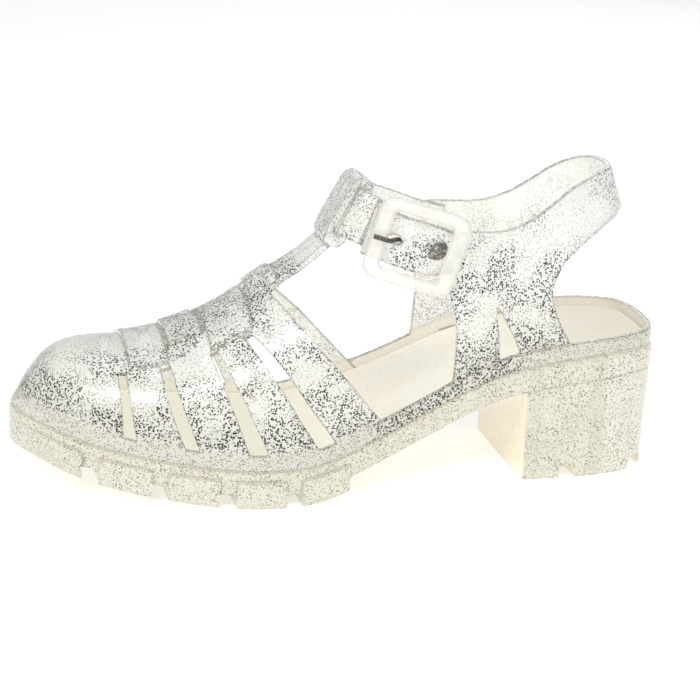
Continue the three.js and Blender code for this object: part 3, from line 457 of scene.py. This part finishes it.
def footbed(name, parts):
    """Plain beige footbed with a faint mottled grain, a little darker at toe and heel; the darker
    toe is painted shade under the vamp.
    """
    shader = Shader(name, Coat_Weight=0.1, Coat_Roughness=0.3)
    x = shader.millimetres()[0]
    broad = shader.noise(0.025, detail=3.0)
    grain = shader.noise(0.0009, shift=0.3)
    base = tuple(parts.insole_colour)
    body = shader.mix(broad.ramp(0.4, 0.65) * 0.6, base, warmed(base, FOOTBED_WARMTH))
    body = shader.mix(grain.ramp(0.5, 0.7) * 0.45, body, FOOTBED_GRAIN)
    # Painted shade: darker towards the toe, where the vamp covers the footbed
    body = shader.mix((1.0 - x.ramp(*FOOTBED_TOE_SHADE_X)) * 0.75, body, FOOTBED_TOE_SHADE)
    body = shader.mix(x.ramp(*FOOTBED_HEEL_X) * 0.55, body, FOOTBED_HEEL)
    # Glows a little in its own colour: painted light
    shader.colour(body, SOLID_GLOW)
    shader.set("Roughness", grain * 0.2 + 0.45)
    shader.bump(grain, 0.00012)
    return shader.material


def milky_plastic(name, parts):
    """Hard milky plastic, a little see-through, with yellower clouds and painted shade along its
    edges.
    """
    shader = Shader(name, IOR=1.5, Coat_Weight=0.5, Coat_Roughness=0.05,
                    Subsurface_Weight=0.2, Subsurface_Scale=0.002)
    cloud = shader.noise(0.008).ramp(0.35, 0.7)
    edge = shader.edge(*FRAME_EDGE_FADE)
    base = tuple(parts.buckle_colour)
    body = shader.mix(cloud * 0.4, base, warmed(base, FRAME_WARMTH))
    # Painted shade: grey lines along the edges of the frame
    body = shader.mix(edge * 0.6, body, FRAME_EDGE_SHADE)
    # Glows a little in its own colour: painted light
    shader.colour(body, SOLID_GLOW)
    shader.set("Alpha", cloud * 0.10 + edge * 0.25 + 0.40)
    shader.set("Roughness", shader.noise(0.003, shift=0.2) * 0.08 + 0.14)
    shader.bump(shader.noise(0.006, shift=0.4), 0.00012)
    return shader.material


def dark_nickel(name, parts, painted_glint):
    """Dark plated metal, slightly mottled, with brighter patches painted in as glints."""
    shader = Shader(name, Metallic=1.0)
    base = tuple(parts.metal_colour)
    mottled = shader.noise(0.0009, detail=3.0)
    # Painted highlight: brighter mottled patches in the metal's colour stand in for glints
    body = shader.mix(mottled.ramp(0.42, 0.62), base, warmed(base, (painted_glint, painted_glint, painted_glint)))
    # The metal glows a little too: painted light
    shader.colour(body, SOLID_GLOW)
    shader.set("Roughness", mottled * 0.25 + 0.18)
    shader.bump(mottled, 0.00006)
    return shader.material


# Dressed copies of the solids

def part_at_sharp_edges(bm, sharp):
    """Marks as smooth only the edges that turn by less than the sharp angle."""
    for edge in bm.edges:
        edge.smooth = edge.is_manifold and edge.calc_face_angle(0.0) < sharp


def relax(bm, verts, factor):
    """Moves vertices towards the middle of their neighbours."""
    bmesh.ops.smooth_vert(bm, verts=verts, factor=factor, use_axis_x=True, use_axis_y=True,
                          use_axis_z=True)


def moulded(node, step, rounds, softened, sharp=SHARP):
    """Copy of a solid with short edges, faceting smoothed away and its corners eased."""
    bm = bmesh.new()
    bm.from_mesh(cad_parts[node].data)
    layer = bm.verts.layers.float.new("edge_distance")
    bmesh.ops.remove_doubles(bm, verts=bm.verts, dist=WELD)
    bmesh.ops.dissolve_degenerate(bm, dist=SLIVER, edges=bm.edges)
    bmesh.ops.triangulate(bm, faces=bm.faces)
    for _ in range(CUTTING_ROUNDS):
        long = [e for e in bm.edges if e.calc_length() > step]
        if not long:
            break
        bmesh.ops.subdivide_edges(bm, edges=long, cuts=1)
        bmesh.ops.triangulate(bm, faces=[f for f in bm.faces if len(f.verts) > 3],
                              quad_method="SHORT_EDGE")
    part_at_sharp_edges(bm, sharp)
    crease = {v for e in bm.edges if not e.smooth for v in e.verts}
    inner = [v for v in bm.verts if v not in crease]
    for _ in range(rounds):
        relax(bm, inner, RELAX)
    lines = {v: [e.other_vert(v) for e in v.link_edges if not e.smooth] for v in crease}
    pairs = {v: near for v, near in lines.items() if len(near) == 2}
    for _ in range(rounds):
        moves = {v: (a.co + b.co) / 2 for v, (a, b) in pairs.items()
                 if (a.co - v.co).angle(v.co - b.co, 0.0) < sharp}
        for v, place in moves.items():
            v.co = v.co.lerp(place, RELAX)
    for _ in range(softened):
        relax(bm, bm.verts, SOFTEN)
    tree = kdtree.KDTree(len(crease))
    for i, v in enumerate(crease):
        tree.insert(v.co, i)
    tree.balance()
    for v in bm.verts:
        v[layer] = tree.find(v.co)[2]
    return bm


def mark(bm, name, rule):
    """Stores at each vertex a number that a rule gives."""
    layer = bm.verts.layers.float.new(name)
    for v in bm.verts:
        v[layer] = rule(v)


def distance_to(node):
    """Rule that gives a vertex's distance to another solid."""
    other = bmesh.new()
    other.from_mesh(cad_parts[node].data)
    tree = BVHTree.FromBMesh(other)
    other.free()
    return lambda v: tree.find_nearest(v.co)[3]


def faces_inward(v):
    """1 where a wall of the upper faces the middle line of the shoe, 0 where it faces out."""
    line = Vector((min(max(v.co.x, -SPINE_END), SPINE_END), 0.0, 0.0))
    across = Vector((line.x - v.co.x, line.y - v.co.y, 0.0)).normalized()
    return min(max(v.normal.dot(across) * 2.0, 0.0), 1.0)


def on_heel_breast(v):
    """1 on the front face of the heel, 0 elsewhere."""
    return float(v.co.x > BREAST_FROM and v.normal.x < BREAST_FACING)


def middle_of(node):
    """Middle of a solid's bounds."""
    places = [v.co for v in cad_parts[node].data.vertices]
    low = Vector([min(p[i] for p in places) for i in range(3)])
    high = Vector([max(p[i] for p in places) for i in range(3)])
    return (low + high) / 2


def finish_piece(bm, name, node, material, sharp=SHARP):
    """Object from a bmesh, at the origin, riding on the shoe in place of its solid."""
    for face in bm.faces:
        face.smooth = True
    part_at_sharp_edges(bm, sharp)
    mesh = bpy.data.meshes.new(name)
    bm.to_mesh(mesh)
    bm.free()
    mesh.materials.append(material)
    piece = bpy.data.objects.new(name, mesh)
    bpy.context.scene.collection.objects.link(piece)
    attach(piece, "root")
    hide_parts(node)
    return piece


class SANDAL_OT_upper(bpy.types.Operator):
    """Dress the clear upper: strips, spine, bar, keeper, quarters, sling and ankle strap"""
    bl_idname = "sandal.upper"
    bl_label = "Upper"

    def execute(self, context):
        parts = context.scene.sandal_parts
        bm = moulded("upper", parts.mesh_step, parts.smoothing, softened=1)
        bm.normal_update()
        mark(bm, "sole_distance", distance_to("outsole"))
        mark(bm, "inward", faces_inward)
        material = clear_plastic("clear glitter", context.scene.sandal_plastic, middle_of("rivet"))
        piece = finish_piece(bm, "clear_upper", "upper", material)
        piece.visible_shadow = False
        return {"FINISHED"}


class SANDAL_OT_sole(bpy.types.Operator):
    """Dress the sole with its lugs and block heel"""
    bl_idname = "sandal.sole"
    bl_label = "Sole and heel"

    def execute(self, context):
        parts = context.scene.sandal_parts
        bm = moulded("outsole", parts.mesh_step, parts.smoothing, softened=1)
        bm.normal_update()
        mark(bm, "breast", on_heel_breast)
        finish_piece(bm, "cream_sole", "outsole",
                     cloudy_plastic("cloudy cream", context.scene.sandal_plastic))
        return {"FINISHED"}


class SANDAL_OT_insole(bpy.types.Operator):
    """Dress the footbed"""
    bl_idname = "sandal.insole"
    bl_label = "Insole"

    def execute(self, context):
        parts = context.scene.sandal_parts
        bm = moulded("insole", parts.mesh_step, parts.smoothing, softened=1)
        finish_piece(bm, "footbed", "insole", footbed("beige footbed", parts))
        return {"FINISHED"}


class SANDAL_OT_buckle(bpy.types.Operator):
    """Dress the buckle frame, its prong and the rivet"""
    bl_idname = "sandal.buckle"
    bl_label = "Buckle"

    def execute(self, context):
        parts = context.scene.sandal_parts
        bm = moulded("buckle_frame", FRAME_STEP, rounds=4, softened=1)
        finish_piece(bm, "milky_frame", "buckle_frame",
                     milky_plastic("milky plastic", parts))
        for node, name, painted_glint in METAL_PIECES:
            bm = moulded(node, METAL_STEP, rounds=3, softened=0, sharp=METAL_SHARP)
            metal = dark_nickel(f"dark nickel of the {name}", parts, painted_glint)
            finish_piece(bm, name, node, metal, METAL_SHARP)
        return {"FINISHED"}


class SANDAL_OT_stage(bpy.types.Operator):
    """Put up the floor, the soft light and the camera"""
    bl_idname = "sandal.stage"
    bl_label = "Stage"

    def execute(self, context):
        stage = context.scene.sandal_stage
        self.floor(context, stage)
        self.world(context, stage)
        for lamp in LAMPS:
            self.lamp(context, *lamp)
        self.camera(context, stage)
        context.scene.view_settings.view_transform = "Standard"
        return {"FINISHED"}

    def floor(self, context, stage):
        bm = bmesh.new()
        bmesh.ops.create_grid(bm, x_segments=1, y_segments=1, size=stage.floor_size / 2)
        mesh = bpy.data.meshes.new("floor")
        bm.to_mesh(mesh)
        bm.free()
        floor = bpy.data.objects.new("floor", mesh)
        context.scene.collection.objects.link(floor)
        pale = Shader("pale floor", Roughness=0.9, Specular_IOR_Level=0.0,
                      Emission_Color=WHITE, Emission_Strength=stage.glow)
        pale.set("Base Color", pale.mix(pale.noise(0.4) * 0.2, *FLOOR_TONES))
        mesh.materials.append(pale.material)

    def world(self, context, stage):
        world = bpy.data.worlds.new("even light")
        world.use_nodes = True
        background = world.node_tree.nodes["Background"]
        background.inputs["Color"].default_value = WHITE
        background.inputs["Strength"].default_value = stage.sky
        context.scene.world = world

    def lamp(self, context, name, place, size, power):
        data = bpy.data.lights.new(name, "AREA")
        data.shape = "RECTANGLE"
        data.size, data.size_y = size
        data.energy = power
        lamp = bpy.data.objects.new(name, data)
        toward = (Vector(LIT_PLACE) - Vector(place)).to_track_quat("-Z", "Y")
        lamp.matrix_world = Matrix.Translation(place) @ toward.to_matrix().to_4x4()
        context.scene.collection.objects.link(lamp)

    def camera(self, context, stage):
        a, e, r = stage.azimuth, stage.elevation, stage.roll
        back = Vector((math.sin(a) * math.cos(e), -math.cos(a) * math.cos(e), math.sin(e)))
        right = Vector((math.cos(a), math.sin(a), 0.0))
        up = back.cross(right).normalized()
        across = math.cos(r) * right - math.sin(r) * up
        upward = math.sin(r) * right + math.cos(r) * up
        data = bpy.data.cameras.new("photo camera")
        data.sensor_width = SENSOR
        data.lens = SENSOR * PIXELS_A_MM * FITTED_DISTANCE / PHOTO_SIDE
        data.shift_x = (PHOTO_SIDE / 2 - AIM_PIXEL[0]) / PHOTO_SIDE
        data.shift_y = (AIM_PIXEL[1] - PHOTO_SIDE / 2) / PHOTO_SIDE
        data.clip_start = 0.01
        camera = bpy.data.objects.new("photo camera", data)
        axes = Matrix((across, upward, back)).transposed().to_4x4()
        target = Vector(AIM) * MM
        camera.matrix_world = Matrix.Translation(target + back * stage.distance) @ axes
        context.scene.collection.objects.link(camera)
        context.scene.camera = camera


class SANDAL_PT_sidebar(bpy.types.Panel):
    """Lists the steps that dress the sandal"""
    bl_idname = "SANDAL_PT_sidebar"
    bl_label = "Clear block heel sandal"
    bl_space_type = "VIEW_3D"
    bl_region_type = "UI"
    bl_category = "Sandal"

    def draw(self, context):
        for group in (context.scene.sandal_plastic, context.scene.sandal_parts,
                      context.scene.sandal_stage):
            box = self.layout.box()
            for name in group.__annotations__:
                box.prop(group, name)
        for step in STEPS:
            self.layout.operator(step.bl_idname)


STEPS = (SANDAL_OT_upper, SANDAL_OT_sole, SANDAL_OT_insole, SANDAL_OT_buckle, SANDAL_OT_stage)
GROUPS = (SANDAL_PG_plastic, SANDAL_PG_parts, SANDAL_PG_stage)


def register():
    for kind in (*GROUPS, *STEPS, SANDAL_PT_sidebar):
        bpy.utils.register_class(kind)
    bpy.types.Scene.sandal_plastic = PointerProperty(type=SANDAL_PG_plastic)
    bpy.types.Scene.sandal_parts = PointerProperty(type=SANDAL_PG_parts)
    bpy.types.Scene.sandal_stage = PointerProperty(type=SANDAL_PG_stage)


def unregister():
    del bpy.types.Scene.sandal_stage
    del bpy.types.Scene.sandal_parts
    del bpy.types.Scene.sandal_plastic
    for kind in reversed((*GROUPS, *STEPS, SANDAL_PT_sidebar)):
        bpy.utils.unregister_class(kind)


def main():
    register()
    bpy.ops.sandal.upper()
    bpy.ops.sandal.sole()
    bpy.ops.sandal.insole()
    bpy.ops.sandal.buckle()
    bpy.ops.sandal.stage()


if __name__ == "__main__":
    main()
